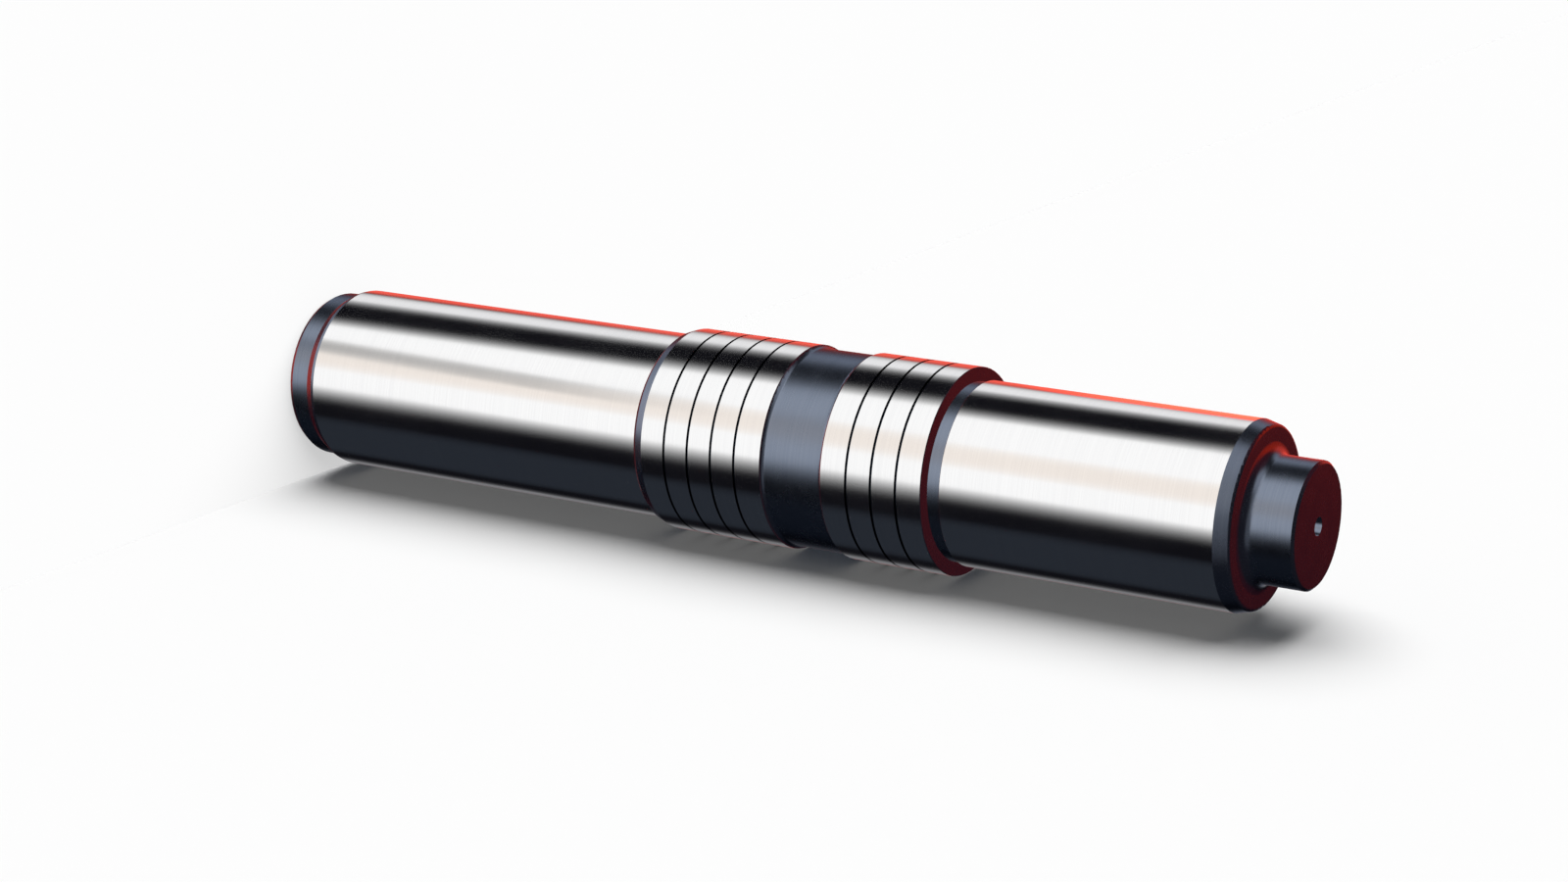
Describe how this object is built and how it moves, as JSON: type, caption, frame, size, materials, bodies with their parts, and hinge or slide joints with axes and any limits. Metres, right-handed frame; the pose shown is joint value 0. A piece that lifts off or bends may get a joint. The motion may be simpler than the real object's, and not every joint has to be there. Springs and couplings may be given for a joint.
{
  "type": "hydraulic breaker piston",
  "caption": "Turned steel piston of a hydraulic breaker: ground rods, grooved piston heads with a waist between them, a blackened nose and a spigot at the gas end.",
  "frame": {"origin": "centre of the strike face, on the axis", "axes": "+Z along the axis, from the strike face up to the gas end; X and Y are alike"},
  "size_m": [0.152, 0.1518, 0.8375],
  "materials": {
    "steel": "running surfaces ground and polished, the other turned surfaces blackened"
  },
  "bodies": {
    "root": {"piston": "steel"}
  },
  "joints": []
}
